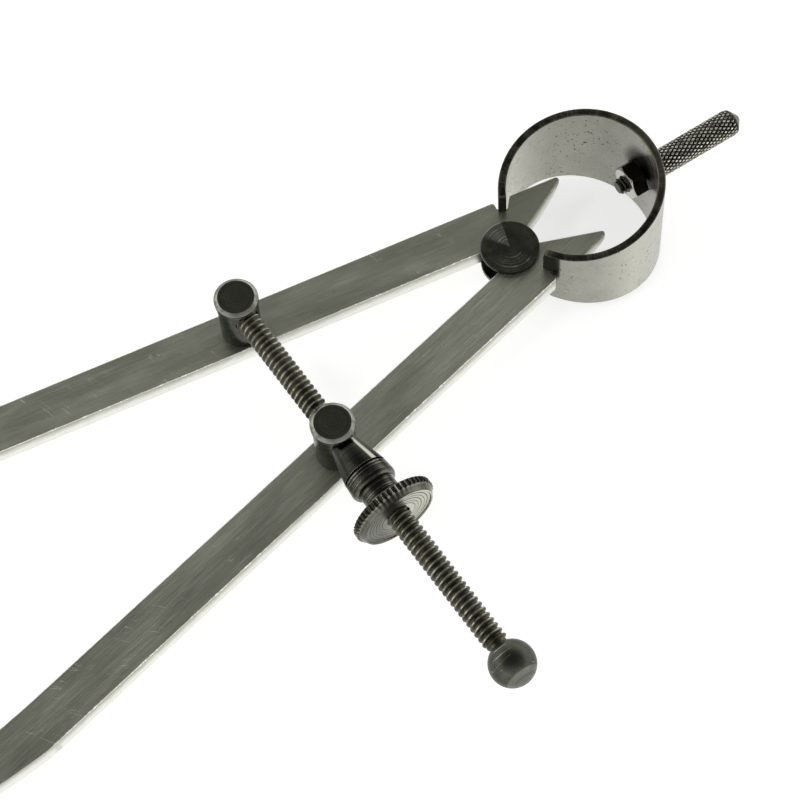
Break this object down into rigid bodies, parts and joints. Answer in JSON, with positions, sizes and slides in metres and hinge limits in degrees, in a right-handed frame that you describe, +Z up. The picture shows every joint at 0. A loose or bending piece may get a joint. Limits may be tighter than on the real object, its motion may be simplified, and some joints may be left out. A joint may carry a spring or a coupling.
{
  "type": "spring caliper",
  "caption": "Divider-pattern spring caliper: two flat pointed legs on a grooved fulcrum, held by a slotted bow spring, opened by a screw with a knurled nut.",
  "frame": {"origin": "centre of the fulcrum spool's upper face", "axes": "+Y from the points towards the handle, lengthwise in plan; +X towards the leg with the adjusting nut; +Z up from the surface that the caliper lies on"},
  "size_m": [0.0862, 0.1799, 0.0204],
  "materials": {
    "bright_steel": "fine lengthwise grinding, dulled with age",
    "bow_steel": "satin, lightly scratched and pitted, dark on its edges",
    "black_steel": "turned and blackened, half gloss"
  },
  "bodies": {
    "fulcrum": {"fulcrum_spool": "black_steel"},
    "left_leg": {"left_leg": "bright_steel"},
    "right_leg": {"right_leg": "bright_steel"},
    "left_swivel": {"left_post": "black_steel", "left_post_screw": "black_steel", "left_post_washer": "black_steel", "adjusting_screw": "black_steel", "stop_ball": "black_steel"},
    "right_swivel": {"right_post": "black_steel", "right_post_screw": "black_steel", "right_post_washer": "black_steel", "thrust_collar": "black_steel"},
    "nut": {"adjusting_nut": "black_steel"},
    "bow": {"bow_spring": "bow_steel", "handle": "black_steel", "handle_nut": "black_steel"}
  },
  "joints": [
    {"name": "right_leg_hinge", "type": "hinge", "parent": "fulcrum", "child": "right_leg", "pos_m": [0, 0, 0], "axis": [0, -0.0552, 0.9985], "range_deg": [-10.5, 17.4]},
    {"name": "left_leg_hinge", "type": "hinge", "parent": "fulcrum", "child": "left_leg", "pos_m": [0, 0, 0], "axis": [0, -0.0552, 0.9985], "range_deg": [-17.5, 10.6]},
    {"name": "left_swivel_hinge", "type": "hinge", "parent": "left_leg", "child": "left_swivel", "pos_m": [-0.01247, -0.03974, -0.0046], "axis": [0, -0.0552, 0.9985], "range_deg": [-10.6, 17.5]},
    {"name": "right_swivel_hinge", "type": "hinge", "parent": "right_leg", "child": "right_swivel", "pos_m": [0.01247, -0.03974, -0.0046], "axis": [0, -0.0552, 0.9985], "range_deg": [-17.5, 10.6]},
    {"name": "nut_spin", "type": "hinge", "parent": "right_swivel", "child": "nut", "pos_m": [0.02247, -0.04017, 0.00329], "axis": [1, 0, 0], "range_deg": [-5620, 9300]},
    {"name": "bow_slide", "type": "slide", "parent": "fulcrum", "child": "bow", "axis": [0, 0.9985, 0.0552], "range_m": [-0.0012, 0.002], "deforming": ["bow_spring"]}
  ],
  "couplings": [
    {"joint": "left_leg_hinge", "follows": "right_leg_hinge", "ratio": -1},
    {"joint": "left_swivel_hinge", "follows": "right_leg_hinge", "ratio": 1},
    {"joint": "right_swivel_hinge", "follows": "right_leg_hinge", "ratio": -1},
    {"joint": "nut_spin", "follows": "right_leg_hinge", "ratio": 533.81},
    {"joint": "bow_slide", "follows": "right_leg_hinge", "m_per_rad": 0.0062}
  ]
}
